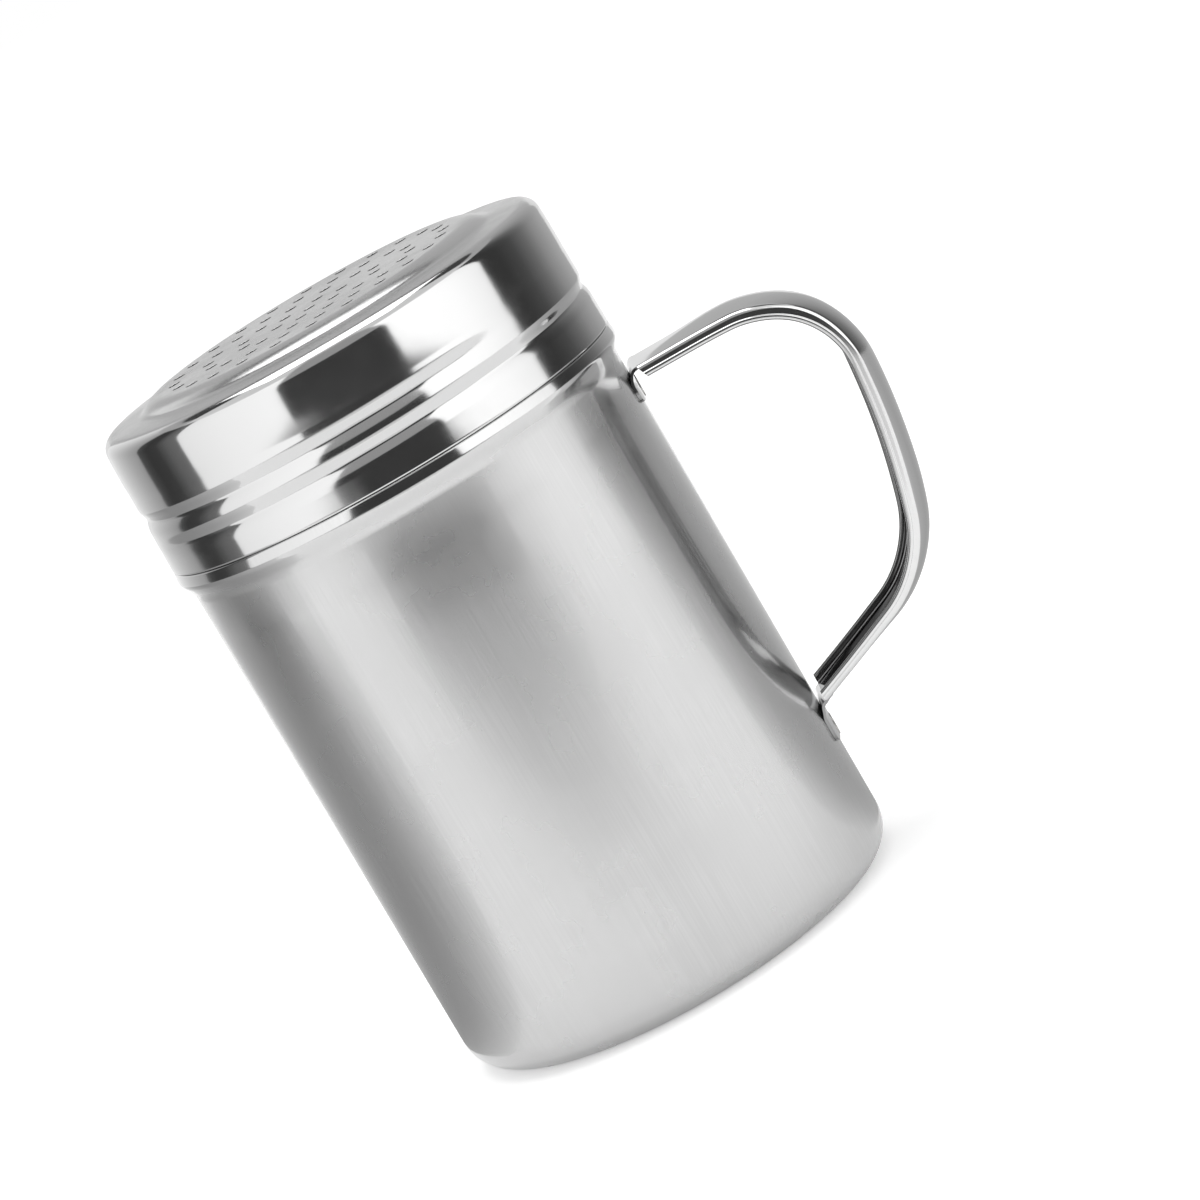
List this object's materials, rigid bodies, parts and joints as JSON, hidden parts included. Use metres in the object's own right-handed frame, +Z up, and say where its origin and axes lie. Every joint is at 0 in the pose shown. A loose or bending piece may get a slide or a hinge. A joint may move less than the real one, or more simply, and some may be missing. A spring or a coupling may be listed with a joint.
{
  "type": "spice shaker",
  "caption": "Round steel spice shaker: a drawn cup with a beaded shoulder and a loop handle, under a threaded lid with a raised, evenly perforated top.",
  "frame": {"origin": "on the table under the middle of the cup's flat base", "axes": "+Z up along the cup's axis, +X out through the middle of the handle, +Y across the cup"},
  "size_m": [0.1006, 0.0706, 0.1067],
  "materials": {
    "cup_steel": "satin stainless sheet with faint upright draw lines",
    "lid_steel": "polished stainless sheet with a finely grained top",
    "handle_steel": "polished stainless strip",
    "weld_steel": "dull pressed weld spot"
  },
  "bodies": {
    "cup_with_handle": {"cup": "cup_steel", "handle": "handle_steel", "upper_spot_weld": "weld_steel", "lower_spot_weld": "weld_steel"},
    "screw_lid": {"lid": "lid_steel"}
  },
  "joints": [
    {"name": "lid_turn", "type": "hinge", "parent": "cup_with_handle", "child": "screw_lid", "pos_m": [0, 0, 0.095], "axis": [0, 0, 1], "range_deg": [0, 450]}
  ]
}
